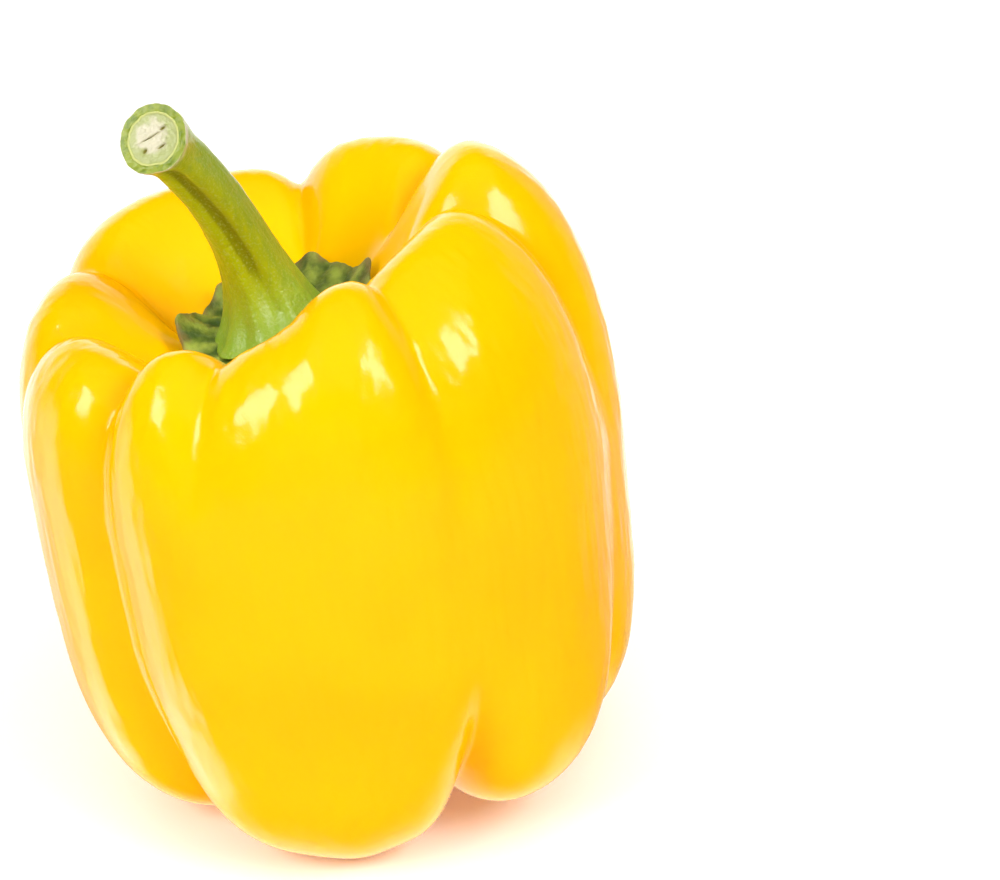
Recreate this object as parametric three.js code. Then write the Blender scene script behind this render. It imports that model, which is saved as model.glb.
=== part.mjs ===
// Bell pepper standing on its feet: the lobed fruit, the calyx in its stem hollow and the cut stem.
// Millimetres, +Z up, origin at the middle of the underside. Azimuths run counter-clockwise from +X.
import * as THREE from "three";

const { degToRad, euclideanModulo, lerp, smoothstep } = THREE.MathUtils;

// Fruit: the round form before lobes, grooves and hollows.
const FRUIT_RADIUS = 43;
const WIDEST_HEIGHT = 50;
const CROWN_HALF = 42;
const CROWN_POWER = 3.2;
const FOOT_HALF = 53.8;
const FOOT_POWER = 3.6;
const CROWN_TILT = 5;
const CROWN_TILT_AT = degToRad(15);
const LEAN = new THREE.Vector2(-0.1, 0.04);

// Fruit: the stem hollow in the crown and the dimple at the blossom end.
const HOLLOW_DEPTH = 21;
const HOLLOW_WIDTH = 24;
const HOLLOW_POWER = 3.6;
const HOLLOW_AT = new THREE.Vector2(-4, 0.5);
const HOLLOW_NARROW = 4.5;
const HOLLOW_NARROW_AT = degToRad(325);
const DIMPLE_DEPTH = 12;
const DIMPLE_WIDTH = 14;

// Grooves between lobes: half-angle of the notch, roundness of its bottom, and where they fade out.
const GROOVE_WIDTH = degToRad(6);
const GROOVE_ROUND = degToRad(2);
const GROOVE_FADE = [13, 25];

// Grooves round the fruit: azimuth in degrees at the crown and at the foot, then depth on the crown,
// wall and foot. The two without depth only part the halves of the front and the back lobe.
const GROOVES = [
  { groove: 191, footGroove: 190, crown: 4, wall: 1.5, foot: 2 },
  { groove: 225, footGroove: 229, crown: 5.5, wall: 3.4, foot: 6 },
  { groove: 250, footGroove: 254, crown: 3, wall: 0, foot: 0 },
  { groove: 276, footGroove: 276, crown: 0, wall: 0, foot: 0 },
  { groove: 301, footGroove: 301, crown: 3, wall: 0.5, foot: 7.5 },
  { groove: 0, footGroove: -18, crown: 4, wall: 1.2, foot: 4 },
  { groove: 42, footGroove: 45, crown: 6, wall: 2, foot: 5 },
  { groove: 94, footGroove: 97, crown: 4.5, wall: 2.5, foot: 5 },
  { groove: 128, footGroove: 128, crown: 0, wall: 0, foot: 0 },
  { groove: 158, footGroove: 155, crown: 4.5, wall: 2, foot: 3 },
];

// How far the swell after each groove reaches out and rises, at the crown and at the foot.
const SWELLS = [
  { reach: 1, rise: -1, footReach: 1.5, footRise: 1.5 },
  { reach: 0, rise: 3, footReach: -2, footRise: 0 },
  { reach: 0, rise: 0.5, footReach: -3, footRise: 0 },
  { reach: 0, rise: 4.2, footReach: -4.5, footRise: 1.2 },
  { reach: -1, rise: 0.8, footReach: 0.7, footRise: 5 },
  { reach: 1.5, rise: 5, footReach: 2, footRise: 1 },
  { reach: 0, rise: 2, footReach: -2, footRise: 0 },
  { reach: 3, rise: -1.5, footReach: -2, footRise: 0 },
  { reach: 5.2, rise: -1.5, footReach: -2, footRise: 0 },
  { reach: 1.4, rise: -0.5, footReach: -2, footRise: 0 },
];

// Calyx: a dished cap with short points that follows the floor of the hollow and lifts at its back,
// with one side curled up.
const CALYX_AT = new THREE.Vector2(-4.8, 0.5);
const CALYX_RADIUS = 13.2;
const CALYX_LIFT = 1.6;
const CALYX_LIFT_AT = degToRad(55);
const CURL = 2.8;
const CURL_AT = degToRad(170);
const CURL_WIDTH = degToRad(40);
const SEPALS = 7;
const SEPALS_AT = degToRad(25);
const SEPAL_REACH = 1;
const SEPAL_RISE = 0.7;
const EDGE_WAVE = 0.3;
const EDGE_WAVES = 19;
const CALYX_EDGE = 1;
const CALYX_MIDDLE = 2.4;

// Stem: ridged, with one deeper furrow, flared at its foot, bent and cut. Its path is measured from
// the top of the calyx.
const STEM_PATH = [
  new THREE.Vector3(0, 0, -2),
  new THREE.Vector3(-1.7, 1, 13),
  new THREE.Vector3(-7.5, -6, 27),
  new THREE.Vector3(-10.2, -14, 33),
];
const STEM_MIDDLE = 3.7;
const STEM_FOOT = 9.6;
const FLARE_LENGTH = 0.14;
const STEM_CUT = 4.8;
const STEM_RIDGES = 5;
const STEM_RIDGE = 0.15;
const FURROW = 0.8;
const FURROW_WIDTH = degToRad(18);
const STEM_TURN = degToRad(85);
const STEM_TWIST = degToRad(-28);
const CUT_BEVEL = 0.02;

// Air left between neighbouring pieces.
const GAP = 0.4;

// Facets round and along each piece.
const FRUIT_FACETS = [120, 44];
const CALYX_FACETS = [72, 7];
const STEM_FACETS = [40, 18];

// Every lobe with its groove, its swell, its half-width and its middle azimuth.
const lobes = GROOVES.map((start, i) => {
  const next = GROOVES[(i + 1) % GROOVES.length];
  const halfSpan = degToRad(euclideanModulo(next.groove - start.groove, 360)) / 2;
  return { ...start, ...SWELLS[i], halfSpan, middle: degToRad(start.groove) + halfSpan };
});

function wrapAngle(angle) {
  return euclideanModulo(angle + Math.PI, 2 * Math.PI) - Math.PI;
}

// One measure of the lobes at an azimuth, passing smoothly from lobe to lobe.
function lobeMean(azimuth, measure) {
  let sum = 0;
  let weights = 0;
  for (const lobe of lobes) {
    const weight = Math.exp(-((wrapAngle(azimuth - lobe.middle) / lobe.halfSpan) ** 2));
    sum += weight * lobe[measure];
    weights += weight;
  }
  return sum / weights;
}

// Depth of all grooves at an azimuth and polar angle, from the shares of crown, wall and foot there.
function grooveDepth(azimuth, polar, crown, foot) {
  let depth = 0;
  for (const lobe of lobes) {
    const groove = degToRad(lerp(lobe.groove, lobe.footGroove, polar / Math.PI));
    const away = wrapAngle(azimuth - groove);
    const notch = Math.exp((GROOVE_ROUND - Math.hypot(away, GROOVE_ROUND)) / GROOVE_WIDTH);
    depth += notch * (lobe.crown * crown + lobe.foot * foot + lobe.wall * (1 - crown - foot));
  }
  return depth;
}

// Skin of the fruit at an azimuth and a polar angle from the crown down, before the lean.
function fruitPoint(azimuth, polar) {
  const side = Math.sin(polar);
  const up = Math.cos(polar);
  const crown = smoothstep(up, 0.15, 0.75);
  const foot = smoothstep(-up, 0.2, 0.85);

  const tilt = CROWN_TILT * Math.cos(azimuth - CROWN_TILT_AT);
  const rise = (lobeMean(azimuth, "rise") + tilt) * smoothstep(side, 0.05, 0.55);
  const reach = lerp(lobeMean(azimuth, "reach"), lobeMean(azimuth, "footReach"), foot);
  const footRise = lobeMean(azimuth, "footRise") * smoothstep(side, 0.05, 0.4);
  const half = up > 0 ? CROWN_HALF + rise : FOOT_HALF - footRise;
  const power = up > 0 ? CROWN_POWER : FOOT_POWER;
  const across = (side / (FRUIT_RADIUS + reach)) ** power;
  const along = (Math.abs(up) / half) ** power;
  const full = (across + along) ** (-1 / power);

  const fade = smoothstep(full * side, ...GROOVE_FADE);
  const size = full - fade * grooveDepth(azimuth, polar, crown, foot);
  const x = size * side * Math.cos(azimuth);
  const y = size * side * Math.sin(azimuth);
  let z = WIDEST_HEIGHT + size * up;
  if (up > 0) {
    const away = Math.hypot(x - HOLLOW_AT.x, y - HOLLOW_AT.y);
    const narrow = HOLLOW_NARROW * (0.5 + 0.5 * Math.cos(azimuth - HOLLOW_NARROW_AT)) ** 4;
    z -= HOLLOW_DEPTH * Math.exp(-((away / (HOLLOW_WIDTH - narrow)) ** HOLLOW_POWER));
  } else {
    z += DIMPLE_DEPTH * Math.exp(-((size * side / DIMPLE_WIDTH) ** 2));
  }
  return new THREE.Vector3(x, y, Math.max(z, 0));
}

// Height of the skin in the stem hollow, by halving the polar angle until the distance fits.
function hollowFloor(x, y) {
  const azimuth = Math.atan2(y, x);
  const distance = Math.hypot(x, y);
  let low = 0;
  let high = Math.PI / 4;
  for (let i = 0; i < 18; i++) {
    const middle = (low + high) / 2;
    const point = fruitPoint(azimuth, middle);
    if (Math.hypot(point.x, point.y) < distance) low = middle;
    else high = middle;
  }
  return fruitPoint(azimuth, low).z;
}

// How much an azimuth belongs to a sepal's point, from 0 between sepals to 1 at the tip.
function sepalShare(azimuth) {
  return (0.5 + 0.5 * Math.cos(SEPALS * (azimuth - SEPALS_AT))) ** 4;
}

function calyxRim(azimuth) {
  return CALYX_RADIUS + SEPAL_REACH * sepalShare(azimuth) + EDGE_WAVE * Math.sin(EDGE_WAVES * azimuth);
}

// Height of the calyx underside or top at a share of the way out to its rim.
function calyxHeight(azimuth, out, top) {
  const reach = out * calyxRim(azimuth);
  const floor = hollowFloor(CALYX_AT.x + reach * Math.cos(azimuth), CALYX_AT.y + reach * Math.sin(azimuth));
  const lift = CALYX_LIFT * (0.5 + 0.5 * Math.cos(azimuth - CALYX_LIFT_AT)) * out ** 2;
  const curl = CURL * Math.exp(-((wrapAngle(azimuth - CURL_AT) / CURL_WIDTH) ** 2)) * out ** 3;
  const tip = SEPAL_RISE * sepalShare(azimuth) * out ** 4;
  const wave = EDGE_WAVE * (1 + Math.sin(EDGE_WAVES * azimuth + 1)) * out ** 3;
  const thickness = lerp(CALYX_MIDDLE, CALYX_EDGE, out ** 2);
  return floor + GAP + lift + curl + tip + wave + (top ? thickness : 0);
}

function calyxPoint(azimuth, row) {
  const reach = row.out * calyxRim(azimuth);
  const x = CALYX_AT.x + reach * Math.cos(azimuth);
  const y = CALYX_AT.y + reach * Math.sin(azimuth);
  return new THREE.Vector3(x, y, calyxHeight(azimuth, row.out, row.top));
}

// Curve of the stem, and the axis that it bends about.
const stemFoot = new THREE.Vector3(CALYX_AT.x, CALYX_AT.y, calyxHeight(0, 0, true));
const stemCurve = new THREE.CubicBezierCurve3(...STEM_PATH.map((p) => p.clone().add(stemFoot)));
const bendAxis = stemCurve.getTangent(0).cross(stemCurve.getTangent(1)).normalize();

function stemRadius(along, azimuth) {
  const flare = (STEM_FOOT - STEM_MIDDLE) * Math.exp(-along / FLARE_LENGTH);
  const swell = (STEM_CUT - STEM_MIDDLE) * smoothstep(along, 0.82, 1);
  const fade = smoothstep(along, 0.03, 0.2) * (1 - 0.75 * smoothstep(along, 0.8, 1));
  const turned = azimuth + STEM_TURN + STEM_TWIST * (1 - along);
  const ridges = STEM_RIDGE * Math.cos(STEM_RIDGES * turned);
  const furrow = FURROW * Math.exp(-((wrapAngle(turned) / FURROW_WIDTH) ** 2));
  return STEM_MIDDLE + flare + swell - fade * (ridges + furrow);
}

// Skin of the stem at a share of its path and of its radius.
function stemSkin(azimuth, along, out) {
  const tangent = stemCurve.getTangent(along);
  const first = bendAxis.clone().addScaledVector(tangent, -bendAxis.dot(tangent)).normalize();
  const second = tangent.clone().cross(first);
  const radius = out * stemRadius(along, azimuth);
  const point = stemCurve.getPoint(along);
  point.addScaledVector(first, radius * Math.cos(azimuth));
  point.addScaledVector(second, radius * Math.sin(azimuth));
  return point;
}

// Height over a point at which the stem sits on the calyx.
function seatHeight(x, y) {
  const around = Math.atan2(y - CALYX_AT.y, x - CALYX_AT.x);
  const out = Math.hypot(x - CALYX_AT.x, y - CALYX_AT.y) / calyxRim(around);
  return calyxHeight(around, out, true) + GAP;
}

// Share of the path at which the stem's skin comes out of the calyx, by halving.
function seatShare(azimuth) {
  let low = 0;
  let high = 0.4;
  for (let i = 0; i < 12; i++) {
    const middle = (low + high) / 2;
    const point = stemSkin(azimuth, middle, 1);
    if (point.z < seatHeight(point.x, point.y)) low = middle;
    else high = middle;
  }
  return high;
}

// Surface of the stem. Its underside lies over the calyx, and its side starts at the underside's edge.
function stemPoint(azimuth, row) {
  const seat = seatShare(azimuth);
  if (row.along > 0) return stemSkin(azimuth, lerp(seat, 1, row.along), row.out);
  const edge = stemSkin(azimuth, seat, 1);
  const x = lerp(CALYX_AT.x, edge.x, row.out);
  const y = lerp(CALYX_AT.y, edge.y, row.out);
  return new THREE.Vector3(x, y, seatHeight(x, y));
}

// Closed skin over rows of points: the first and the last row are single points, the others rings.
function loft(rows, columns, pointAt) {
  const positions = [];
  const indices = [];
  const last = rows.length - 1;
  rows.forEach((row, i) => {
    const count = i === 0 || i === last ? 1 : columns;
    for (let j = 0; j < count; j++) {
      positions.push(...pointAt((2 * Math.PI * j) / columns, row).toArray());
    }
  });
  const ring = (i, j) => 1 + (i - 1) * columns + (j % columns);
  const end = 1 + (last - 1) * columns;
  for (let j = 0; j < columns; j++) {
    indices.push(0, ring(1, j), ring(1, j + 1));
    indices.push(end, ring(last - 1, j + 1), ring(last - 1, j));
    for (let i = 1; i < last - 1; i++) {
      indices.push(ring(i, j), ring(i + 1, j), ring(i, j + 1));
      indices.push(ring(i, j + 1), ring(i + 1, j), ring(i + 1, j + 1));
    }
  }
  const geometry = new THREE.BufferGeometry();
  geometry.setAttribute("position", new THREE.Float32BufferAttribute(positions, 3));
  geometry.setIndex(indices);
  return geometry;
}

// Shares from 0 to 1 in even steps.
function shares(steps) {
  return Array.from({ length: steps + 1 }, (_, i) => i / steps);
}

const fruitRows = shares(FRUIT_FACETS[1]).map((share) => share * Math.PI);
const calyxRows = [
  ...shares(CALYX_FACETS[1]).map((out) => ({ out, top: true })),
  ...shares(CALYX_FACETS[1]).reverse().map((out) => ({ out, top: false })),
];
const stemRows = [
  ...[0, 0.5, 0.93].map((out) => ({ out, along: 1 })),
  ...shares(STEM_FACETS[1]).reverse().map((share) => ({ out: 1, along: share * (1 - CUT_BEVEL) })),
  ...[0.5, 0].map((out) => ({ out, along: 0 })),
];

const pieces = [
  ["fruit", loft(fruitRows, FRUIT_FACETS[0], fruitPoint), { color: 0xffc800, roughness: 0.2 }],
  ["calyx", loft(calyxRows, CALYX_FACETS[0], calyxPoint), { color: 0x3f6636, roughness: 0.6 }],
  ["stem", loft(stemRows, STEM_FACETS[0], stemPoint), { color: 0x86a02c, roughness: 0.5 }],
];

// The whole pepper leans, then its box is set over the origin.
const pepper = new THREE.Group();
pepper.name = "bell_pepper";
const lean = new THREE.Matrix4().makeShear(0, 0, 0, 0, LEAN.x, LEAN.y);
for (const [name, geometry, look] of pieces) {
  geometry.applyMatrix4(lean);
  geometry.computeVertexNormals();
  const mesh = new THREE.Mesh(geometry, new THREE.MeshStandardMaterial({ ...look, metalness: 0 }));
  mesh.name = name;
  pepper.add(mesh);
}
const box = new THREE.Box3().setFromObject(pepper, true);
const middle = box.getCenter(new THREE.Vector3());
for (const mesh of pepper.children) mesh.geometry.translate(-middle.x, -middle.y, -box.min.z);

export default pepper;
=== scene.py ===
"""Bell pepper on a pale floor: lobed glossy fruit, calyx in the stem hollow and a cut, ridged stem."""

import logging
import math
from dataclasses import dataclass, field
from enum import Enum
from typing import Union

import bpy
from mathutils import Matrix, Vector


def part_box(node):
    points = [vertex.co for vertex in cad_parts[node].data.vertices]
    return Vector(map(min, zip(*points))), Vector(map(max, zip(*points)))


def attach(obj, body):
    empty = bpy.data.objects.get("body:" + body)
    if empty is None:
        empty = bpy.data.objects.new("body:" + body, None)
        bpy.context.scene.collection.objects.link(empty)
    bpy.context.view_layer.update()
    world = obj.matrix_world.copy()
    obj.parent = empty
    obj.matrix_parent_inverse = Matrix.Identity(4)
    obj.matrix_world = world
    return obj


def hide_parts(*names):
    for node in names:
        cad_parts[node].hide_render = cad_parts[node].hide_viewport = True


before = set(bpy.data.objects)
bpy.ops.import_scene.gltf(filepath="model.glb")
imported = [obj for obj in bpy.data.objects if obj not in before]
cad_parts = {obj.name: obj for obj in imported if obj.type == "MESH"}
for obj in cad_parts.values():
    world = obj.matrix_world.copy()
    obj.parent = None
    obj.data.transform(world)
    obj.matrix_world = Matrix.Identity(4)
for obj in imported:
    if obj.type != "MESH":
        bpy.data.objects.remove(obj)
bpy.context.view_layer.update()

LOG = logging.getLogger("bell_pepper")
MM = 0.001
TURN = 2.0 * math.pi
Number = Union[float, "Field"]
Triple = tuple[float, float, float]


class Field:
    """A number that varies over a surface, written down as a chain of math nodes."""

    def __init__(self, tree: bpy.types.NodeTree, socket: bpy.types.NodeSocket) -> None:
        """Holds the tree that the nodes go in and the socket that gives the number."""
        self.tree = tree
        self.socket = socket

    def feed(self, value: Number, socket: bpy.types.NodeSocket) -> None:
        """Links a field into a socket, or sets a plain number on it.

        Args:
            value: the field or number.
            socket: the input that takes it.
        """
        if isinstance(value, Field):
            self.tree.links.new(value.socket, socket)
        else:
            socket.default_value = value

    def math(self, operation: str, *operands: Number) -> "Field":
        """Adds one math node.

        Args:
            operation: Blender's name of the operation.
            operands: fields or plain numbers, in the order of the node's inputs.

        Returns:
            The field that the node gives.
        """
        node = self.tree.nodes.new("ShaderNodeMath")
        node.operation = operation
        for value, socket in zip(operands, node.inputs):
            self.feed(value, socket)
        return Field(self.tree, node.outputs[0])

    def __add__(self, other: Number) -> "Field":
        """Sum."""
        return self.math("ADD", self, other)

    __radd__ = __add__

    def __sub__(self, other: Number) -> "Field":
        """Difference."""
        return self.math("SUBTRACT", self, other)

    def __rsub__(self, other: Number) -> "Field":
        """Difference from a plain number."""
        return self.math("SUBTRACT", other, self)

    def __mul__(self, other: Number) -> "Field":
        """Product."""
        return self.math("MULTIPLY", self, other)

    __rmul__ = __mul__

    def __truediv__(self, other: Number) -> "Field":
        """Quotient."""
        return self.math("DIVIDE", self, other)

    def __rtruediv__(self, other: Number) -> "Field":
        """A plain number over this field."""
        return self.math("DIVIDE", other, self)

    def __pow__(self, other: Number) -> "Field":
        """Power, of a field that is not negative."""
        return self.math("POWER", self, other)

    def __neg__(self) -> "Field":
        """The field with its sign turned."""
        return self.math("MULTIPLY", self, -1.0)

    def sin(self) -> "Field":
        """Sine of an angle in radians."""
        return self.math("SINE", self)

    def cos(self) -> "Field":
        """Cosine of an angle in radians."""
        return self.math("COSINE", self)

    def exp(self) -> "Field":
        """Exponential."""
        return self.math("EXPONENT", self)

    def sqrt(self) -> "Field":
        """Square root."""
        return self.math("SQRT", self)

    def abs(self) -> "Field":
        """Size without sign."""
        return self.math("ABSOLUTE", self)

    def least(self, other: Number) -> "Field":
        """The smaller of two."""
        return self.math("MINIMUM", self, other)

    def most(self, other: Number) -> "Field":
        """The larger of two."""
        return self.math("MAXIMUM", self, other)

    def above(self, other: Number) -> "Field":
        """One where this field is larger, zero elsewhere."""
        return self.math("GREATER_THAN", self, other)

    def wrapped(self) -> "Field":
        """The angle brought between minus half a turn and half a turn."""
        return self.math("WRAP", self, math.pi, -math.pi)

    def towards(self, other: Number, share: Number) -> "Field":
        """This field passing to another as a share goes from zero to one."""
        return self + (other - self) * share

    def ramp(self, start: float, end: float) -> "Field":
        """Smooth step between two values of this field.

        Args:
            start: where the step is still zero.
            end: where it has reached one.

        Returns:
            The step as a field between zero and one.
        """
        node = self.tree.nodes.new("ShaderNodeMapRange")
        node.interpolation_type = "SMOOTHSTEP"
        self.feed(self, node.inputs["Value"])
        self.feed(start, node.inputs["From Min"])
        self.feed(end, node.inputs["From Max"])
        return Field(self.tree, node.outputs["Result"])

    def bell(self, width: float) -> "Field":
        """Bell curve of the given width round zero."""
        scaled = self / width
        return (-(scaled * scaled)).exp()


Point = tuple[Field, Field, Field]
Place = tuple[Number, Number, Number]


def plus(a: Point, b: Point) -> Point:
    """Sum of two points of fields."""
    return (a[0] + b[0], a[1] + b[1], a[2] + b[2])


def scaled(a: Point, factor: Number) -> Point:
    """A point of fields times a number."""
    return (a[0] * factor, a[1] * factor, a[2] * factor)


def crossed(a: Point, b: Point) -> Point:
    """Cross product of two points of fields."""
    return (
        a[1] * b[2] - a[2] * b[1],
        a[2] * b[0] - a[0] * b[2],
        a[0] * b[1] - a[1] * b[0],
    )


def unit(a: Point) -> Point:
    """A point of fields brought to length one."""
    return scaled(a, 1.0 / (a[0] * a[0] + a[1] * a[1] + a[2] * a[2]).sqrt())


class FormTree:
    """A Geometry Nodes tree that bends a grid into a closed skin, with a piece's sizes as its inputs."""

    RAY_HEIGHT = 0.3
    MERGE_DISTANCE = 2e-6

    def __init__(self, name: str, columns: int, rows: int) -> None:
        """Starts the tree with its grid.

        Args:
            name: name of the tree and of the piece.
            columns: faces round the piece.
            rows: faces from the first pole to the last.
        """
        self.name = name
        self.tree = bpy.data.node_groups.new(name + "_form", "GeometryNodeTree")
        self.values: dict[str, float] = {}
        self.entry = self.tree.nodes.new("NodeGroupInput")
        grid = self.tree.nodes.new("GeometryNodeMeshGrid")
        self.mesh = grid.outputs["Mesh"]
        for socket, value in zip(grid.inputs, (1.0, 1.0, columns + 1, rows + 1)):
            socket.default_value = value
        place = self.separated(self.tree.nodes.new("GeometryNodeInputPosition").outputs[0])
        self.around = (place[0] + 0.5) * TURN
        self.along = place[1] + 0.5

    def size(self, name: str, value: float) -> Field:
        """Adds a named input of the tree.

        Args:
            name: what the input measures.
            value: what the modifier sets it to.

        Returns:
            The input as a field.
        """
        self.tree.interface.new_socket(name, in_out="INPUT", socket_type="NodeSocketFloat")
        self.values[name] = value
        return Field(self.tree, self.entry.outputs[name])

    def separated(self, socket: bpy.types.NodeSocket) -> Point:
        """Takes a vector apart.

        Args:
            socket: the vector.

        Returns:
            Its three parts.
        """
        node = self.tree.nodes.new("ShaderNodeSeparateXYZ")
        self.tree.links.new(socket, node.inputs[0])
        return tuple(Field(self.tree, part) for part in node.outputs)

    def combined(self, point: Place) -> bpy.types.NodeSocket:
        """Puts a vector together.

        Args:
            point: three fields or plain numbers.

        Returns:
            The socket that gives the vector.
        """
        node = self.tree.nodes.new("ShaderNodeCombineXYZ")
        for value, socket in zip(point, node.inputs):
            self.around.feed(value, socket)
        return node.outputs[0]

    def noise(self, point: Place, scale: float, detail: float = 1.0) -> Field:
        """Smooth noise between minus one and one.

        Args:
            point: where the noise is read.
            scale: waves for each unit of the point.
            detail: octaves of finer noise.

        Returns:
            The noise as a field.
        """
        node = self.tree.nodes.new("ShaderNodeTexNoise")
        self.tree.links.new(self.combined(point), node.inputs["Vector"])
        node.inputs["Scale"].default_value = scale
        node.inputs["Detail"].default_value = detail
        return (Field(self.tree, node.outputs[0]) - 0.5) * 2.0

    def ground(self, target: bpy.types.Object, x: Number, y: Number) -> Field:
        """Height of a finished piece under a point, found by a ray from above.

        Args:
            target: the finished piece.
            x: place along X, in metres.
            y: place along Y, in metres.

        Returns:
            The height in metres as a field.
        """
        info = self.tree.nodes.new("GeometryNodeObjectInfo")
        info.inputs["Object"].default_value = target
        ray = self.tree.nodes.new("GeometryNodeRaycast")
        self.tree.links.new(info.outputs["Geometry"], ray.inputs["Target Geometry"])
        self.tree.links.new(self.combined((x, y, self.RAY_HEIGHT)), ray.inputs["Source Position"])
        ray.inputs["Ray Direction"].default_value = (0.0, 0.0, -1.0)
        ray.inputs["Ray Length"].default_value = 1.0
        return self.separated(ray.outputs["Hit Position"])[2]

    def keep(self, name: str, value: Field) -> None:
        """Stores a field on the skin's points for the finish to read.

        Args:
            name: name of the attribute.
            value: what is stored.
        """
        node = self.tree.nodes.new("GeometryNodeStoreNamedAttribute")
        node.data_type = "FLOAT"
        node.domain = "POINT"
        node.inputs["Name"].default_value = name
        self.tree.links.new(self.mesh, node.inputs["Geometry"])
        self.tree.links.new(value.socket, node.inputs["Value"])
        self.mesh = node.outputs["Geometry"]

    def step(self, kind: str, **inputs: object) -> None:
        """Passes the mesh through one more node.

        Args:
            kind: Blender's name of the node.
            inputs: values or sockets for its inputs, by name with underscores for spaces.
        """
        node = self.tree.nodes.new(kind)
        self.tree.links.new(self.mesh, node.inputs[0])
        for name, value in inputs.items():
            socket = node.inputs[name.replace("_", " ")]
            if isinstance(value, bpy.types.NodeSocket):
                self.tree.links.new(value, socket)
            else:
                socket.default_value = value
        self.mesh = node.outputs[0]

    def piece(self, position: Place, material: bpy.types.Material) -> bpy.types.Object:
        """Closes the tree and makes the piece as a plain mesh.

        Args:
            position: where each grid point goes, in metres.
            material: the finish of the whole skin.

        Returns:
            The piece's object, at the origin and without modifiers.
        """
        self.step("GeometryNodeSetPosition", Position=self.combined(position))
        self.step("GeometryNodeMergeByDistance", Distance=self.MERGE_DISTANCE)
        self.step("GeometryNodeFlipFaces")
        self.step("GeometryNodeSetShadeSmooth")
        self.step("GeometryNodeRealizeInstances")
        self.step("GeometryNodeSetMaterial", Material=material)
        self.tree.interface.new_socket("Geometry", in_out="OUTPUT", socket_type="NodeSocketGeometry")
        leave = self.tree.nodes.new("NodeGroupOutput")
        self.tree.links.new(self.mesh, leave.inputs[0])

        item = bpy.data.objects.new(self.name, bpy.data.meshes.new(self.name + "_seed"))
        bpy.context.scene.collection.objects.link(item)
        modifier = item.modifiers.new("form", "NODES")
        modifier.node_group = self.tree
        for socket in self.tree.interface.items_tree:
            if socket.in_out == "INPUT":
                modifier[socket.identifier] = float(self.values[socket.name])
        shaped = item.evaluated_get(bpy.context.evaluated_depsgraph_get())
        mesh = bpy.data.meshes.new_from_object(shaped)
        mesh.name = self.name
        item.modifiers.clear()
        item.data = mesh
        return item


class Shade:
    """Small helper that lays out one Principled material."""

    def __init__(self, name: str) -> None:
        """Makes an empty node material with its shader.

        Args:
            name: name of the material.
        """
        self.material = bpy.data.materials.new(name)
        self.material.use_nodes = True
        self.nodes = self.material.node_tree.nodes
        self.links = self.material.node_tree.links
        self.shader = self.nodes["Principled BSDF"]
        self.coordinates = self.nodes.new("ShaderNodeTexCoord").outputs["Object"]

    def set(self, **values: object) -> None:
        """Sets plain values on the shader's own sockets, by name with underscores for spaces."""
        for name, value in values.items():
            self.shader.inputs[name.replace("_", " ")].default_value = value

    def attribute(self, name: str) -> Field:
        """Reads a number stored on the piece's points.

        Args:
            name: name of the attribute.

        Returns:
            The number as a field.
        """
        node = self.nodes.new("ShaderNodeAttribute")
        node.attribute_name = name
        return Field(self.material.node_tree, node.outputs["Fac"])

    def noise(self, scale: float, detail: float = 2.0, stretch: Triple = (1.0, 1.0, 1.0)) -> Field:
        """Noise on the piece's own coordinates.

        Args:
            scale: waves for each metre.
            detail: octaves of finer noise.
            stretch: how much tighter the noise is along each axis.

        Returns:
            The noise as a field between zero and one.
        """
        mapping = self.nodes.new("ShaderNodeMapping")
        mapping.inputs["Scale"].default_value = stretch
        node = self.nodes.new("ShaderNodeTexNoise")
        node.inputs["Scale"].default_value = scale
        node.inputs["Detail"].default_value = detail
        self.links.new(self.coordinates, mapping.inputs["Vector"])
        self.links.new(mapping.outputs[0], node.inputs["Vector"])
        return Field(self.material.node_tree, node.outputs[0])

    def mix(self, share: Field, first: object, second: object) -> bpy.types.NodeSocket:
        """Mixes two colours by a share.

        Args:
            share: zero for the first colour, one for the second.
            first: a triple or a socket.
            second: a triple or a socket.

        Returns:
            The socket that gives the mixed colour.
        """
        node = self.nodes.new("ShaderNodeMix")
        node.data_type = "RGBA"
        node.clamp_factor = True
        self.links.new(share.socket, node.inputs[0])
        for value, socket in ((first, node.inputs[6]), (second, node.inputs[7])):
            if isinstance(value, bpy.types.NodeSocket):
                self.links.new(value, socket)
            else:
                socket.default_value = (*value, 1.0)
        return node.outputs[2]

    def colour(self, socket: bpy.types.NodeSocket) -> None:
        """Gives the shader its base colour."""
        self.links.new(socket, self.shader.inputs["Base Color"])

    def roughness(self, value: Field) -> None:
        """Gives the shader a roughness that varies."""
        self.links.new(value.socket, self.shader.inputs["Roughness"])

    def bump(self, height: Field, depth: float) -> None:
        """Raises fine relief.

        Args:
            height: the relief between zero and one.
            depth: how far in metres a height of one stands out.
        """
        node = self.nodes.new("ShaderNodeBump")
        node.inputs["Strength"].default_value = 1.0
        node.inputs["Distance"].default_value = depth
        self.links.new(height.socket, node.inputs["Height"])
        self.links.new(node.outputs[0], self.shader.inputs["Normal"])


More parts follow.
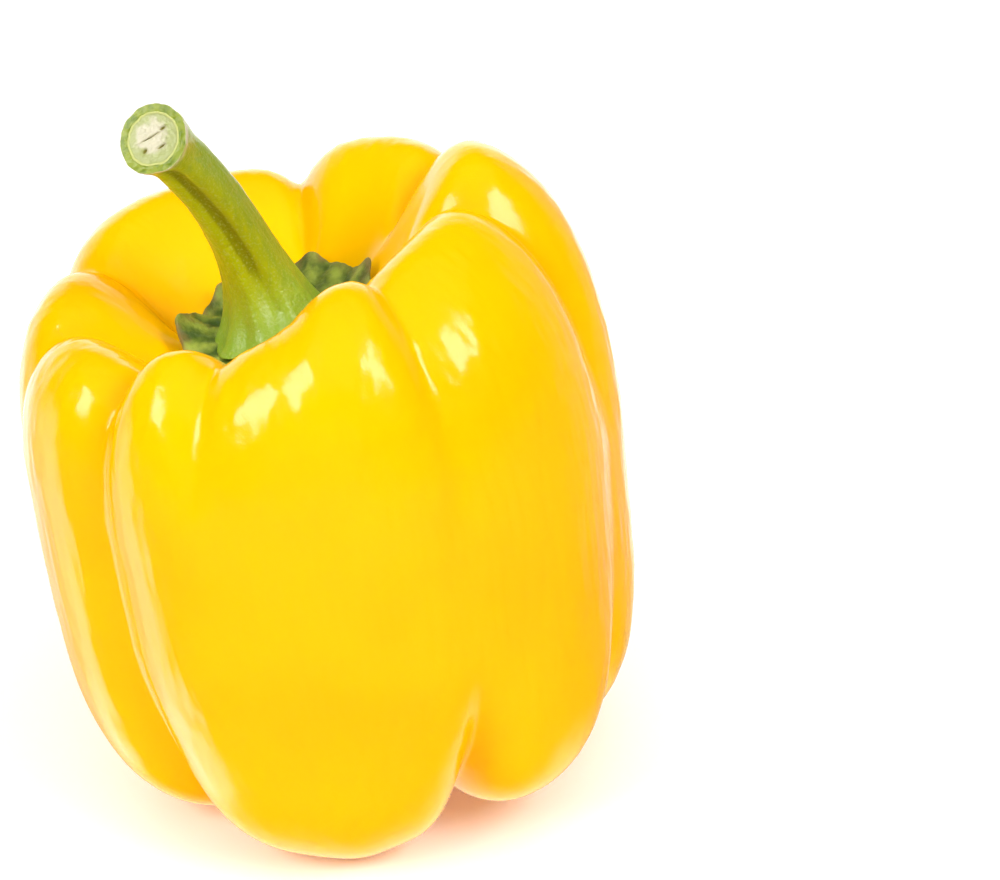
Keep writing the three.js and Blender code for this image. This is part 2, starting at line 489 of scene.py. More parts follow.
@dataclass(frozen=True)
class SkinFinish:
    """Waxy, glossy yellow skin, with painted shade (a warmer, darker tone) in its grooves and painted
    light (a lighter tone) in the hollow and on the feet.
    """

    bright: Triple = (0.96, 0.46, 0.0)
    warm: Triple = (0.96, 0.425, 0.0)
    # deep: the warmer, darker groove tone is painted shade.
    deep: Triple = (0.96, 0.38, 0.0)
    # light: the lighter tone in the stem hollow and on the feet is painted light that lifts their shade.
    light: Triple = (0.97, 0.51, 0.0)
    cloud_scale: float = 45.0
    groove_shade_share: float = 0.4
    gloss: float = 0.15
    gloss_range: float = 0.08
    gloss_scale: float = 300.0
    pore_scale: float = 2600.0
    pore_depth: float = 0.00002
    flesh_depth: float = 0.004

    def material(self) -> bpy.types.Material:
        """Lays out the skin.

        Returns:
            The skin's material.
        """
        shade = Shade("yellow_skin")
        clouds = shade.noise(self.cloud_scale, 3.0).ramp(0.35, 0.7)
        groove = shade.attribute("groove").ramp(0.15, 0.9)
        body = shade.mix(clouds, self.bright, self.warm)
        # Painted light: the hollow and the feet turn towards the lighter tone.
        body = shade.mix(shade.attribute("light"), body, self.light)
        # Painted shade: the grooves turn towards the darker deep tone.
        shade.colour(shade.mix(groove * self.groove_shade_share, body, self.deep))
        spread = shade.noise(self.gloss_scale, 3.0) * self.gloss_range
        shade.roughness(spread + (self.gloss - self.gloss_range / 2))
        shade.bump(shade.noise(self.pore_scale, 2.0), self.pore_depth)
        shade.set(
            IOR=1.45,
            Specular_IOR_Level=0.22,
            Subsurface_Weight=0.12,
            Subsurface_Radius=(1.0, 0.45, 0.05),
            Subsurface_Scale=self.flesh_depth,
            Coat_Weight=0.22,
            Coat_Roughness=0.1,
        )
        return shade.material


@dataclass(frozen=True)
class StemFinish:
    """Yellow-green stalk with painted shade in its furrows, one side painted lighter, a pale foot and a
    moist cut face.
    """

    ridge: Triple = (0.35, 0.41, 0.0)
    flank: Triple = (0.23, 0.33, 0.018)
    furrow: Triple = (0.20, 0.23, 0.0)
    foot: Triple = (0.21, 0.36, 0.03)
    speck: Triple = (0.42, 0.50, 0.16)
    rind: Triple = (0.22, 0.27, 0.01)
    rind_dark: Triple = (0.12, 0.18, 0.0)
    ring: Triple = (0.46, 0.48, 0.16)
    pith: Triple = (0.33, 0.36, 0.13)
    pale: Triple = (0.50, 0.47, 0.32)
    slit: Triple = (0.20, 0.18, 0.02)
    streak_scale: float = 900.0
    speck_scale: float = 3000.0
    mottle_scale: float = 620.0
    ring_from: float = 0.705
    rind_from: float = 0.77
    relief_scale: float = 1800.0
    relief_depth: float = 0.00012

    def side(self, shade: Shade) -> bpy.types.NodeSocket:
        """Colour of the stalk's side: ridges, furrows with painted shade, a side painted lighter, pale
        specks and the foot.

        Args:
            shade: the material that it goes in.

        Returns:
            The socket that gives the colour.
        """
        streak = shade.noise(self.streak_scale, 3.0, (1.0, 1.0, 0.2))
        # Painted light: one side of the stalk is painted the lighter lime ridge colour as if lit, the
        # other the duller flank; partly the stalk's own tones.
        lit_side = shade.attribute("lit_side") * 0.5 + 0.5
        body = shade.mix((lit_side + (streak - 0.5) * 0.8).ramp(0.35, 0.95), self.flank, self.ridge)
        body = shade.mix(shade.attribute("foot") * 0.85, body, self.foot)
        # Painted shade: the furrow and the valleys between the ridges turn to the darker furrow colour.
        furrow = shade.attribute("furrow") * 1.3 + (streak - 0.5) * 0.5
        body = shade.mix(furrow.ramp(0.1, 0.8), body, self.furrow)
        body = shade.mix(shade.noise(self.speck_scale, 1.0).ramp(0.5, 0.75) * 0.35, body, self.speck)
        return shade.mix(shade.attribute("lip") * streak.ramp(0.3, 0.6), body, self.pale)

    def face(self, shade: Shade) -> bpy.types.NodeSocket:
        """Colour of the cut face: rind, thin ring, mottled pith and splits darkened with painted shade.

        Args:
            shade: the material that it goes in.

        Returns:
            The socket that gives the colour.
        """
        out = shade.attribute("cut_out")
        mottle = shade.noise(self.mottle_scale, 4.0)
        across, up = shade.attribute("cut_x") + 0.08, shade.attribute("cut_y") - 0.08
        middle = (across * across + up * up).sqrt() + (mottle - 0.5) * 0.7
        pith = shade.mix(middle.ramp(0.32, 0.56), self.pale, self.pith)
        # Painted shade: the shallow splits are painted dark, as if deep.
        pith = shade.mix(shade.attribute("slit").ramp(0.25, 0.75), pith, self.slit)
        edge = out + (mottle - 0.5) * 0.05
        face = shade.mix(edge.ramp(self.ring_from, self.ring_from + 0.025), pith, self.ring)
        rind = shade.mix(shade.noise(self.streak_scale, 3.0).ramp(0.4, 0.65), self.rind, self.rind_dark)
        return shade.mix(edge.ramp(self.rind_from, self.rind_from + 0.02), face, rind)

    def material(self) -> bpy.types.Material:
        """Lays out the stem's side and cut face.

        Returns:
            The stem's material.
        """
        shade = Shade("green_stem")
        shade.colour(shade.mix(shade.attribute("cut"), self.side(shade), self.face(shade)))
        shade.bump(shade.noise(self.relief_scale, 4.0), self.relief_depth)
        shade.set(Roughness=0.34, Subsurface_Weight=0.08, Subsurface_Scale=0.002)
        shade.set(Subsurface_Radius=(0.6, 1.0, 0.2))
        return shade.material


@dataclass(frozen=True)
class CalyxFinish:
    """Dull dark green leaf, darker in its hollows and paler on its lumps and folds, partly random tone
    and partly painted shade and highlight, with browned, dry edges.
    """

    dark: Triple = (0.045, 0.085, 0.006)
    light: Triple = (0.31, 0.38, 0.045)
    dry: Triple = (0.24, 0.15, 0.04)
    lump_scale: float = 420.0
    dry_scale: float = 500.0
    dry_share: float = 0.8
    relief_scale: float = 1500.0
    relief_depth: float = 0.00025

    def material(self) -> bpy.types.Material:
        """Lays out the leaf.

        Returns:
            The calyx's material.
        """
        shade = Shade("dark_green_calyx")
        # Painted shade and highlight: the fold relief darkens the hollows and lightens the raised tops;
        # the noise adds random tone.
        lumps = shade.noise(self.lump_scale, 4.0) + shade.attribute("fold") * 0.3
        leaf = shade.mix(lumps.ramp(0.25, 0.85), self.dark, self.light)
        ragged = (shade.noise(self.dry_scale, 3.0) - 0.5) * 0.4
        edge = (shade.attribute("rim") + ragged).ramp(0.88, 1.1)
        shade.colour(shade.mix(edge * self.dry_share, leaf, self.dry))
        shade.bump(shade.noise(self.relief_scale, 5.0), self.relief_depth)
        shade.set(Roughness=0.5)
        return shade.material


@dataclass(frozen=True)
class Lobe:
    """One lobe of the fruit, from its groove to the next; angles in degrees, lengths in mm.

    groove and foot_groove are where its groove starts and ends. crown, wall and foot are how deep
    that groove is. reach and rise, also at the foot, are how far the lobe stands out and up.
    """

    groove: float
    foot_groove: float
    crown: float
    wall: float
    foot: float
    reach: float
    rise: float
    foot_reach: float
    foot_rise: float


@dataclass
class Fruit:
    """The lobed body of the pepper, in mm before its lean."""

    radius: float = 43.0
    widest_height: float = 50.0
    crown_half: float = 42.0
    crown_power: float = 3.2
    foot_half: float = 53.8
    foot_power: float = 3.6
    crown_tilt: float = 5.0
    crown_tilt_at: float = 15.0
    lean: tuple[float, float] = (-0.1, 0.04)
    hollow_depth: float = 21.0
    hollow_width: float = 24.0
    hollow_power: float = 3.6
    hollow_at: tuple[float, float] = (-4.0, 0.5)
    hollow_narrow: float = 4.5
    hollow_narrow_at: float = 325.0
    dimple_depth: float = 12.0
    dimple_width: float = 14.0
    groove_width: float = 6.0
    groove_round: float = 2.0
    groove_full: float = 7.0
    groove_fade: tuple[float, float] = (13.0, 25.0)
    swell: float = 0.35
    swell_scale: float = 1.6
    rib: float = 0.16
    rib_scale: float = 9.0
    ripple: float = 0.15
    ripple_scale: float = 28.0
    columns: int = 540
    rows: int = 176
    finish: SkinFinish = SkinFinish()
    lobes: tuple[Lobe, ...] = (
        Lobe(191, 190, 4.0, 1.5, 2.0, 1.0, -1.0, 1.5, 1.5),
        Lobe(225, 229, 5.5, 3.4, 6.0, 0.0, 3.0, -2.0, 0.0),
        Lobe(250, 254, 3.0, 0.0, 0.0, 0.0, 0.5, -3.0, 0.0),
        Lobe(276, 276, 0.0, 0.0, 0.0, 0.0, 4.2, -4.5, 1.2),
        Lobe(301, 301, 3.0, 0.5, 7.5, -1.0, 0.8, 0.7, 5.0),
        Lobe(0, -18, 4.0, 1.2, 4.0, 1.5, 5.0, 2.0, 1.0),
        Lobe(42, 45, 6.0, 2.0, 5.0, 0.0, 2.0, -2.0, 0.0),
        Lobe(94, 97, 4.5, 2.5, 5.0, 3.0, -1.5, -2.0, 0.0),
        Lobe(128, 128, 0.0, 0.0, 0.0, 5.2, -1.5, -2.0, 0.0),
        Lobe(158, 155, 4.5, 2.0, 3.0, 1.4, -0.5, -2.0, 0.0),
    )

    def spans(self) -> list[tuple[float, float]]:
        """Where every lobe lies.

        Returns:
            Middle azimuth and half-width of each lobe, in radians.
        """
        found = []
        for lobe, following in zip(self.lobes, self.lobes[1:] + self.lobes[:1]):
            half = math.radians((following.groove - lobe.groove) % 360) / 2
            found.append((math.radians(lobe.groove) + half, half))
        return found

    def lobe_means(self, azimuth: Field) -> tuple[Field, Field, Field, Field]:
        """The lobes' measures, passing smoothly from lobe to lobe.

        Args:
            azimuth: angle round the fruit.

        Returns:
            Reach and rise, and then both at the foot, in mm.
        """
        weights = [((azimuth - middle).wrapped()).bell(half) for middle, half in self.spans()]
        total = sum(weights)
        measures = ("reach", "rise", "foot_reach", "foot_rise")
        return tuple(
            sum(w * getattr(lobe, m) for w, lobe in zip(weights, self.lobes)) / total for m in measures
        )

    def groove_depth(
        self, azimuth: Field, polar: Field, crown: Field, foot: Field
    ) -> tuple[Field, Field]:
        """Depth of all grooves, and how near the nearest groove is.

        Args:
            azimuth: angle round the fruit.
            polar: angle from the crown down.
            crown: share of the crown.
            foot: share of the foot.

        Returns:
            The depth in mm, and a share that is one in the bottom of a groove.
        """
        width, rounding = math.radians(self.groove_width), math.radians(self.groove_round)
        wall = 1.0 - crown - foot
        depth, nearest = 0.0, 0.0
        for lobe in self.lobes:
            drift = polar * (math.radians(lobe.foot_groove - lobe.groove) / math.pi)
            away = (azimuth - drift - math.radians(lobe.groove)).wrapped()
            notch = ((rounding - (away * away + rounding * rounding).sqrt()) / width).exp()
            sunk = notch * (crown * lobe.crown + wall * lobe.wall + foot * lobe.foot)
            depth = depth + sunk
            nearest = (sunk / self.groove_full).most(nearest)
        return depth, nearest

    def build(self) -> bpy.types.Object:
        """Makes the fruit's skin as one closed mesh.

        Returns:
            The fruit piece, not yet set over the solid.
        """
        form = FormTree("fruit_skin", self.columns, self.rows)
        radius = form.size("Radius", self.radius)
        middle = form.size("Widest height", self.widest_height)
        crown_half = form.size("Crown half height", self.crown_half)
        foot_half = form.size("Foot half height", self.foot_half)
        hollow_depth = form.size("Hollow depth", self.hollow_depth)
        hollow_width = form.size("Hollow width", self.hollow_width)
        dimple_depth = form.size("Dimple depth", self.dimple_depth)
        dimple_width = form.size("Dimple width", self.dimple_width)
        tilt = form.size("Crown tilt", self.crown_tilt)
        swell = form.size("Swell", self.swell)
        rib = form.size("Rib", self.rib)
        ripple = form.size("Ripple", self.ripple)

        azimuth, polar = form.around, form.along * math.pi
        side, up = polar.sin(), polar.cos()
        crown, foot = up.ramp(0.15, 0.75), (-up).ramp(0.2, 0.85)
        upper = up.above(0.0)

        reach, rise, foot_reach, foot_rise = self.lobe_means(azimuth)
        rise = rise + tilt * (azimuth - math.radians(self.crown_tilt_at)).cos()
        rise = rise * side.ramp(0.05, 0.55)
        girth = radius + reach.towards(foot_reach, foot)
        half = (foot_half - foot_rise * side.ramp(0.05, 0.4)).towards(crown_half + rise, upper)
        power = upper * (self.crown_power - self.foot_power) + self.foot_power
        across = (side.most(1e-6) / girth) ** power
        upright = (up.abs() / half) ** power
        full = (across + upright) ** (-1.0 / power)

        fade = (full * side).ramp(*self.groove_fade)
        depth, nearest = self.groove_depth(azimuth, polar, crown, foot)
        ring_x, ring_y = azimuth.cos() * side, azimuth.sin() * side
        swells = swell * form.noise((ring_x, ring_y, up), self.swell_scale)
        ribs = rib * form.noise((ring_x, ring_y, up * 0.08), self.rib_scale) * side.ramp(0.45, 0.8)
        fine = form.noise((ring_x, ring_y, up * 0.12), self.ripple_scale)
        ripples = ripple * fine * (1.0 - foot * 0.8)
        size = full - fade * depth + (swells + ribs + ripples) * fade

        x, y = size * side * azimuth.cos(), size * side * azimuth.sin()
        away_x, away_y = x - self.hollow_at[0], y - self.hollow_at[1]
        away = (away_x * away_x + away_y * away_y).sqrt()
        near = ((azimuth - math.radians(self.hollow_narrow_at)).cos() * 0.5 + 0.5) ** 4.0
        hollow_out = away / (hollow_width - near * self.hollow_narrow)
        inside = (-(hollow_out ** self.hollow_power)).exp()
        hollow = hollow_depth * inside
        dimple_out = size * side / dimple_width
        dimple = dimple_depth * (-(dimple_out * dimple_out)).exp()
        z = (middle + size * up - hollow * upper + dimple * (1.0 - upper)).most(0.0)

        # Painted shade: the groove share darkens the skin's colour in the grooves.
        form.keep("groove", nearest * fade)
        # Painted light: the hollow and the feet get a lighter skin colour that lifts their shade.
        form.keep("light", inside.ramp(0.1, 0.5) * upper + foot * 0.9)
        place = (
            (x + z * self.lean[0]) * MM,
            (y + z * self.lean[1]) * MM,
            z * MM,
        )
        return form.piece(place, self.finish.material())


@dataclass
class Calyx:
    """The dished cap of sepals that lies in the stem hollow, in mm."""

    centre: tuple[float, float] = (0.0, 0.0)
    sepals: int = 7
    sepals_at: float = 25.0
    radius: float = 13.3
    sepal_reach: float = 1.0
    sepal_curl: float = 0.7
    sepal_power: float = 4.0
    back_lift: float = 1.6
    back_at: float = 55.0
    side_curl: float = 2.8
    side_at: float = 170.0
    side_width: float = 40.0
    edge_wave: float = 0.5
    pleats: float = 17.0
    pleat: float = 0.3
    edge: float = 1.0
    middle: float = 2.4
    lift: float = 0.5
    lump: float = 0.55
    small_lump: float = 0.22
    columns: int = 288
    rows: int = 140
    finish: CalyxFinish = CalyxFinish()

    def build(self, fruit: bpy.types.Object) -> bpy.types.Object:
        """Makes the calyx as one closed mesh that follows the fruit's hollow.

        Args:
            fruit: the finished fruit that the calyx lies on.

        Returns:
            The calyx piece.
        """
        form = FormTree("calyx_cap", self.columns, self.rows)
        radius = form.size("Radius", self.radius)
        sepal_reach = form.size("Sepal reach", self.sepal_reach)
        curl = form.size("Sepal curl", self.sepal_curl)
        back_lift = form.size("Back lift", self.back_lift)
        side_curl = form.size("Side curl", self.side_curl)
        wave = form.size("Edge wave", self.edge_wave)
        edge = form.size("Edge thickness", self.edge)
        middle = form.size("Middle thickness", self.middle)
        lump = form.size("Lump", self.lump)

        azimuth = form.around
        out = ((1.0 - (form.along * 2.0 - 1.0).abs()) * 1.06).least(1.0)
        top = 1.0 - form.along.ramp(0.47, 0.53)
        sepal_turn = (azimuth - math.radians(self.sepals_at)) * self.sepals
        sepal = (sepal_turn.cos() * 0.5 + 0.5) ** self.sepal_power
        ragged = form.noise((azimuth.cos(), azimuth.sin(), 0.0), 4.0, 3.0)
        rim = radius + sepal_reach * sepal + wave * ragged
        span = rim * out + top * (1.0 - top) * 1.2
        x = span * azimuth.cos() + self.centre[0]
        y = span * azimuth.sin() + self.centre[1]
        floor = form.ground(fruit, x * MM, y * MM) / MM

        back = (azimuth - math.radians(self.back_at)).cos() * 0.5 + 0.5
        curled = (azimuth - math.radians(self.side_at)).wrapped().bell(math.radians(self.side_width))
        rise = curl * sepal * out ** 4.0 + back_lift * back * out * out + side_curl * curled * out ** 3.0
        pleat = (azimuth * self.pleats + ragged * 2.0).sin() * out.ramp(0.35, 0.9) * self.pleat
        small_bumps = form.noise((x, y, 5.0), 1.0, 2.0) * self.small_lump
        bumps = form.noise((x, y, 0.0), 0.34, 2.0) * lump + small_bumps
        thickness = middle.towards(edge, out * out)
        relief = (pleat + bumps).most(-0.4) * out.ramp(0.2, 0.6) * 0.8
        z = floor + self.lift + rise + relief + top * thickness
        form.keep("rim", out * top.ramp(0.0, 0.4))
        # The fold relief, kept for the finish to paint shade in its hollows and highlight on its tops.
        form.keep("fold", pleat * 1.6 + bumps)
        return form.piece((x * MM, y * MM, z * MM), self.finish.material())


@dataclass(frozen=True)
class Slit:
    """A lens-shaped split in the cut face, in shares of its radius; the tilt is in degrees."""

    x: float
    y: float
    half_length: float
    half_width: float
    tilt: float

    def share(self, x: Field, y: Field) -> Field:
        """How deep a point of the face lies in the split.

        Args:
            x: place across the face.
            y: place up the face.

        Returns:
            Zero outside the split, one in its middle.
        """
        c, s = math.cos(math.radians(self.tilt)), math.sin(math.radians(self.tilt))
        away_x, away_y = x - self.x, y - self.y
        along = away_x * c + away_y * s
        across = away_y * c - away_x * s
        return along.bell(self.half_length) * across.bell(self.half_width)


@dataclass
class Stem:
    """The bent, ridged stalk with its flared foot and cut end, in mm."""

    path: tuple[Triple, Triple, Triple, Triple] = ((0.0, 0.0, 0.0),) * 4
    middle: float = 3.7
    foot: float = 9.6
    flare: float = 0.14
    cut: float = 4.8
    ridges: int = 5
    ridge: float = 0.15
    furrow: float = 0.8
    furrow_width: float = 18.0
    turn: float = 85.0
    twist: float = -28.0
    fold: float = 0.3
    folds: int = 9
    lump: float = 0.14
    fibre: float = 0.1
    fray: float = 0.14
    ring_height: float = 0.12
    grain: float = 0.08
    slit_depth: float = 0.45
    dish: float = 0.25
    columns: int = 240
    rows: int = 300
    face_share: float = 0.22
    base_share: float = 0.02
    slits: tuple[Slit, ...] = (
        Slit(0.26, 0.29, 0.10, 0.045, 25.0),
        Slit(-0.29, -0.30, 0.09, 0.055, 50.0),
        Slit(0.21, -0.22, 0.14, 0.035, 28.0),
        Slit(-0.10, 0.08, 0.30, 0.016, 24.0),
    )
    finish: StemFinish = StemFinish()

    def curve(self, share: Field) -> tuple[Point, Point]:
        """Place and direction on the stem's path.

        Args:
            share: share of the way from the foot to the cut.

        Returns:
            The place in mm and the direction of length one.
        """
        rest = 1.0 - share
        weights = (
            rest * rest * rest,
            rest * rest * share * 3.0,
            rest * share * share * 3.0,
            share * share * share,
        )
        slopes = (rest * rest * 3.0, rest * share * 6.0, share * share * 3.0)
        steps = [Vector(b) - Vector(a) for a, b in zip(self.path, self.path[1:])]
        place = tuple(sum(w * p[i] for w, p in zip(weights, self.path)) for i in range(3))
        direction = tuple(sum(w * s[i] for w, s in zip(slopes, steps)) for i in range(3))
        return place, unit(direction)

    def build(self) -> bpy.types.Object:
        """Makes the stem as one closed mesh, from the middle of its cut face to that of its foot.

        Returns:
            The stem piece.
        """
        form = FormTree("stem_stalk", self.columns, self.rows)
        middle = form.size("Middle radius", self.middle)
        foot = form.size("Foot radius", self.foot)
        cut = form.size("Cut radius", self.cut)
        ridge_height = form.size("Ridge", self.ridge)
        furrow_depth = form.size("Furrow", self.furrow)
        fold_height = form.size("Foot fold", self.fold)
        flare_length = form.size("Flare length", self.flare)

        azimuth = form.around
        face = form.along.math("LESS_THAN", form.along, self.face_share)
        base_out = ((1.0 - form.along) / self.base_share).least(1.0)
        out = (form.along / self.face_share).least(1.0) * base_out
        side_share = 1.0 - self.base_share - self.face_share
        down = ((form.along - self.face_share) / side_share).most(0.0).least(1.0)
        share = 1.0 - down

        turned = azimuth + math.radians(self.turn) + down * math.radians(self.twist)
        valleys = (turned * self.ridges).cos()
        furrow = turned.wrapped().bell(math.radians(self.furrow_width))
        fade = share.ramp(0.03, 0.2) * (1.0 - share.ramp(0.8, 1.0) * 0.75)
        at_foot = 1.0 - share.ramp(0.02, 0.3)
        ring_x, ring_y = azimuth.cos() * 4.0, azimuth.sin() * 4.0
        lumps = form.noise((ring_x, ring_y, share * 30.0), 0.45, 2.0) * self.lump
        fibres = form.noise((ring_x, ring_y, share * 4.0), 1.6, 2.0) * self.fibre
        fray = form.noise((ring_x, ring_y, 0.0), 0.7, 3.0) * share.ramp(0.93, 1.0) * self.fray
        folds = (azimuth * self.folds + 0.6 + lumps * 6.0).cos() * fold_height * at_foot
        girth = middle + (foot - middle) * (-(share / flare_length)).exp()
        girth = girth + (cut - middle) * share.ramp(0.82, 1.0)
        girth = girth - (ridge_height * valleys + furrow_depth * furrow) * fade
        girth = girth + folds + lumps + fibres + fray
        place, direction = self.curve(share)

        start = (Vector(self.path[1]) - Vector(self.path[0])).normalized()
        end = (Vector(self.path[3]) - Vector(self.path[2])).normalized()
        axis = start.cross(end).normalized()
        along_axis = direction[0] * axis[0] + direction[1] * axis[1] + direction[2] * axis[2]
        first = unit(tuple(axis[i] - direction[i] * along_axis for i in range(3)))
        second = crossed(direction, first)
        radius = girth * out
        spread = plus(scaled(first, radius * azimuth.cos()), scaled(second, radius * azimuth.sin()))

        face_x, face_y = out * azimuth.cos(), out * azimuth.sin()
        split = face_x * 0.0
        for slit in self.slits:
            split = split.most(slit.share(face_x, face_y))
        vein = (out - 0.75).bell(0.03)
        grain = form.noise((face_x, face_y, 2.0), 9.0, 3.0) * self.grain * (1.0 - out.ramp(0.85, 1.0))
        hollow = split * self.slit_depth + (1.0 - out * out) * self.dish
        relief = face * (vein * self.ring_height + grain - hollow)
        point = plus(plus(place, spread), scaled(direction, relief))

        # Painted shade: dark marks the furrow and the valleys between the ridges for the finish to
        # darken.
        dark = (furrow * furrow + (valleys * 0.5 + 0.5) ** 4.0 * 0.2).least(1.0)
        form.keep("furrow", dark * fade * share.ramp(0.15, 0.4))
        # Which side of the stalk gets painted light: the lighter lime colour.
        form.keep("lit_side", (turned + 0.6).cos())
        form.keep("cut", face)
        form.keep("lip", share.ramp(0.955, 0.985))
        form.keep("cut_out", out)
        form.keep("cut_x", face_x)
        form.keep("cut_y", face_y)
        form.keep("foot", at_foot)
        form.keep("slit", split)
        return form.piece(scaled(point, MM), self.finish.material())


@dataclass
class Pepper:
    """The whole pepper: its pieces set where the solids are."""

    fruit: Fruit = field(default_factory=Fruit)
    stem_path: tuple[Triple, ...] = ((0, 0, -2), (-1.7, 1, 13), (-7.5, -6, 27), (-10.2, -14, 33))
    calyx_at: tuple[float, float] = (-4.8, 0.5)
    calyx_top: float = 73.8
    calyx_depth: float = 2.0
    shift: tuple[float, float] = (0.0, 0.0)

    def build(self) -> None:
        """Builds and places every piece and hides the solid part that it stands for."""
        fruit = self.fruit.build()
        self.centre(fruit)
        centre = self.leaned((*self.calyx_at, self.calyx_top - self.calyx_depth))
        calyx = Calyx(centre=(centre[0], centre[1])).build(fruit)
        at = (*self.calyx_at, self.calyx_top)
        path = tuple(self.leaned(tuple(a + b for a, b in zip(at, p))) for p in self.stem_path)
        stem = Stem(path=path).build()
        pieces = ((fruit, "fruit", "skin"), (calyx, "calyx", "calyx"), (stem, "stem", "stem"))
        for piece, node, slot in pieces:
            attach(piece, "root")
            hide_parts(node)
            LOG.info("%s: %d faces", piece.name, len(piece.data.polygons))

    def centre(self, fruit: bpy.types.Object) -> None:
        """Moves the fruit's mesh over the middle of the solid fruit, and keeps the shift in mm.

        Args:
            fruit: the finished fruit piece.
        """
        low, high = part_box("fruit")
        corners = [Vector(corner) for corner in fruit.bound_box]
        middles = [(min(c[i] for c in corners) + max(c[i] for c in corners)) / 2 for i in range(2)]
        self.shift = tuple(((low[i] + high[i]) / 2 - middles[i]) / MM for i in range(2))
        fruit.data.transform(Matrix.Translation(Vector((*self.shift, 0.0)) * MM))

    def leaned(self, point: Triple) -> Triple:
        """Leans and shifts a point of the upright pepper.

        Args:
            point: the point in mm.

        Returns:
            Where it goes, in mm.
        """
        x, y, z = point
        lean, shift = self.fruit.lean, self.shift
        return (x + lean[0] * z + shift[0], y + lean[1] * z + shift[1], z)


class Glossy(Enum):
    """Whether a lamp shows as a reflection on the skin."""

    SHOWN = True
    HIDDEN = False


@dataclass(frozen=True)
class Lamp:
    """A rectangular soft light, placed by direction from the pepper's crown."""

    name: str
    azimuth: float
    elevation: float
    distance: float
    width: float
    height: float
    power: float
    glossy: Glossy = Glossy.SHOWN

    def build(self, aim: Vector) -> None:
        """Adds the lamp, turned towards the aim.

        Args:
            aim: the point that it lights, in metres.
        """
        data = bpy.data.lights.new(self.name, "AREA")
        data.shape = "RECTANGLE"
        data.size, data.size_y = self.width, self.height
        data.energy = self.power
        lamp = bpy.data.objects.new(self.name, data)
        around, up = math.radians(self.azimuth), math.radians(self.elevation)
        level = math.cos(up)
        away = Vector((math.cos(around) * level, math.sin(around) * level, math.sin(up)))
        lamp.location = aim + away * self.distance
        lamp.rotation_euler = (-away).to_track_quat("-Z", "Y").to_euler()
        lamp.visible_glossy = self.glossy.value
        bpy.context.scene.collection.objects.link(lamp)


@dataclass(frozen=True)
class FloorFinish:
    """Matt white floor with a faint warm glow that keeps the shadow light."""

    white: Triple = (0.93, 0.93, 0.93)
    white_other: Triple = (0.95, 0.95, 0.95)
    glow: Triple = (1.0, 0.58, 0.52)
    glow_strength: float = 0.2

    def material(self) -> bpy.types.Material:
        """Lays out the floor's surface.

        Returns:
            The floor's material.
        """
        shade = Shade("white_floor")
        shade.colour(shade.mix(shade.noise(8.0), self.white, self.white_other))
        shade.set(Roughness=0.7, Specular_IOR_Level=0.2)
        shade.set(Emission_Color=(*self.glow, 1.0), Emission_Strength=self.glow_strength)
        return shade.material


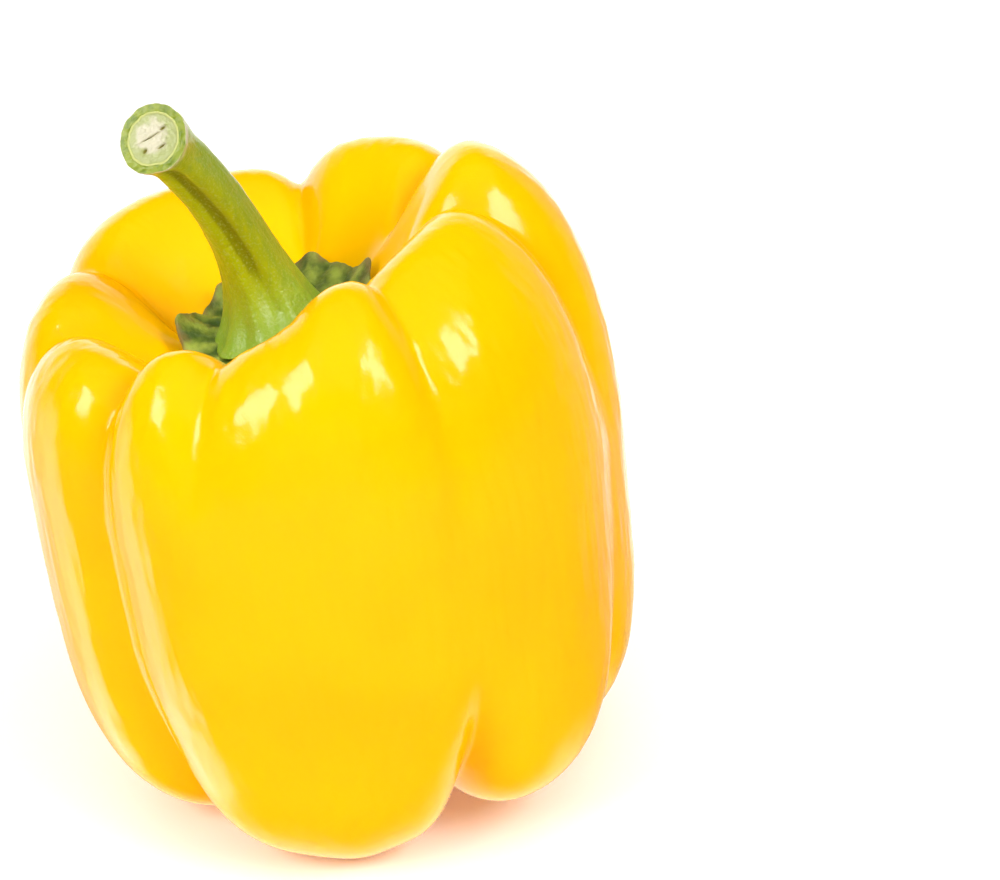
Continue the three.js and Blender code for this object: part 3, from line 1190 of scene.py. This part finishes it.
@dataclass(frozen=True)
class Surround:
    """The light that the room throws back, by direction: what the skin mirrors along its edges."""

    white: Triple = (1.0, 0.95, 0.92)
    peach: Triple = (1.0, 0.78, 0.55)
    rose: Triple = (1.0, 0.72, 0.8)
    dim: float = 0.03
    ground: float = 0.7
    wall: float = 1.3
    below: float = 1.5
    panel: float = 3.4
    panel_fall: float = 2.9

    def build(self) -> None:
        """A bright wall behind, a glow from below and a panel on the left, in a dim room."""
        world = bpy.data.worlds.new("studio")
        bpy.context.scene.world = world
        world.use_nodes = True
        nodes, links = world.node_tree.nodes, world.node_tree.links
        way = nodes.new("ShaderNodeTexCoord").outputs["Generated"]
        split = nodes.new("ShaderNodeSeparateXYZ")
        links.new(way, split.inputs[0])
        x, y, z = (Field(world.node_tree, part) for part in split.outputs)

        level = z.ramp(-0.65, -0.4)
        behind = (1.0 - z.ramp(0.3, 0.6)) * y.ramp(0.3, 0.7) * (1.0 - x.ramp(0.2, 0.55) * 0.75)
        under = y.ramp(-0.1, 0.3) * (1.0 - y.ramp(0.45, 0.75)) * (1.0 - z.ramp(-0.8, -0.6))
        left = (-x).ramp(0.4, 0.55) * (1.0 - z.ramp(-0.1, 0.15)) * y.ramp(-0.24, -0.08)
        strength = behind * (level * self.wall + self.ground) + under * self.below + self.dim
        strength = strength + left * (self.panel - y.ramp(0.1, 0.5) * self.panel_fall)

        tint = nodes.new("ShaderNodeMix")
        panel_tint = nodes.new("ShaderNodeMix")
        tint.data_type = panel_tint.data_type = "RGBA"
        tint.inputs[6].default_value = (*self.peach, 1.0)
        tint.inputs[7].default_value = (*self.white, 1.0)
        panel_tint.inputs[7].default_value = (*self.rose, 1.0)
        links.new(level.socket, tint.inputs[0])
        links.new(left.socket, panel_tint.inputs[0])
        links.new(tint.outputs[2], panel_tint.inputs[6])
        links.new(panel_tint.outputs[2], nodes["Background"].inputs["Color"])
        links.new(strength.socket, nodes["Background"].inputs["Strength"])


@dataclass
class Studio:
    """White floor, soft lamps, the room round them and the camera."""

    floor_size: float = 6.0
    floor_finish: FloorFinish = FloorFinish()
    surround: Surround = Surround()
    aim: Triple = (0.0, 0.0, 0.08)
    camera_at: Triple = (0.0246, -0.3041, 0.2301)
    camera_pitch: float = 60.0
    lens: float = 86.4
    lamps: tuple[Lamp, ...] = (
        Lamp("left_softbox", 222, 37, 0.9, 0.36, 0.36, 4.6),
        Lamp("right_softbox", 326, 42, 0.9, 0.36, 0.36, 4.6),
        Lamp("overhead_fill", 270, 80, 1.6, 2.4, 2.4, 31.0, Glossy.HIDDEN),
        Lamp("front_fill", 270, 6, 1.5, 1.6, 1.0, 4.4, Glossy.HIDDEN),
    )

    def floor(self) -> None:
        """A plain white floor under the pepper."""
        half = self.floor_size / 2
        mesh = bpy.data.meshes.new("floor")
        corners = [(-half, -half, 0.0), (half, -half, 0.0), (half, half, 0.0), (-half, half, 0.0)]
        mesh.from_pydata(corners, [], [(0, 1, 2, 3)])
        mesh.materials.append(self.floor_finish.material())
        item = bpy.data.objects.new("floor", mesh)
        bpy.context.scene.collection.objects.link(item)
        item.visible_glossy = False

    def camera(self) -> None:
        """The camera at the photo's viewing angle."""
        data = bpy.data.cameras.new("camera")
        data.sensor_width = 36.0
        data.lens = self.lens
        data.clip_start, data.clip_end = 0.01, 50.0
        item = bpy.data.objects.new("camera", data)
        item.location = self.camera_at
        item.rotation_euler = (math.radians(self.camera_pitch), 0.0, 0.0)
        bpy.context.scene.collection.objects.link(item)
        bpy.context.scene.camera = item

    def build(self) -> None:
        """Sets up the whole studio."""
        self.camera()
        self.floor()
        self.surround.build()
        for lamp in self.lamps:
            lamp.build(Vector(self.aim))
        bpy.context.scene.view_settings.view_transform = "Standard"


def main() -> None:
    """Builds the studio and the pepper."""
    logging.basicConfig(level=logging.INFO)
    Studio().build()
    Pepper().build()


if __name__ == "__main__":
    main()
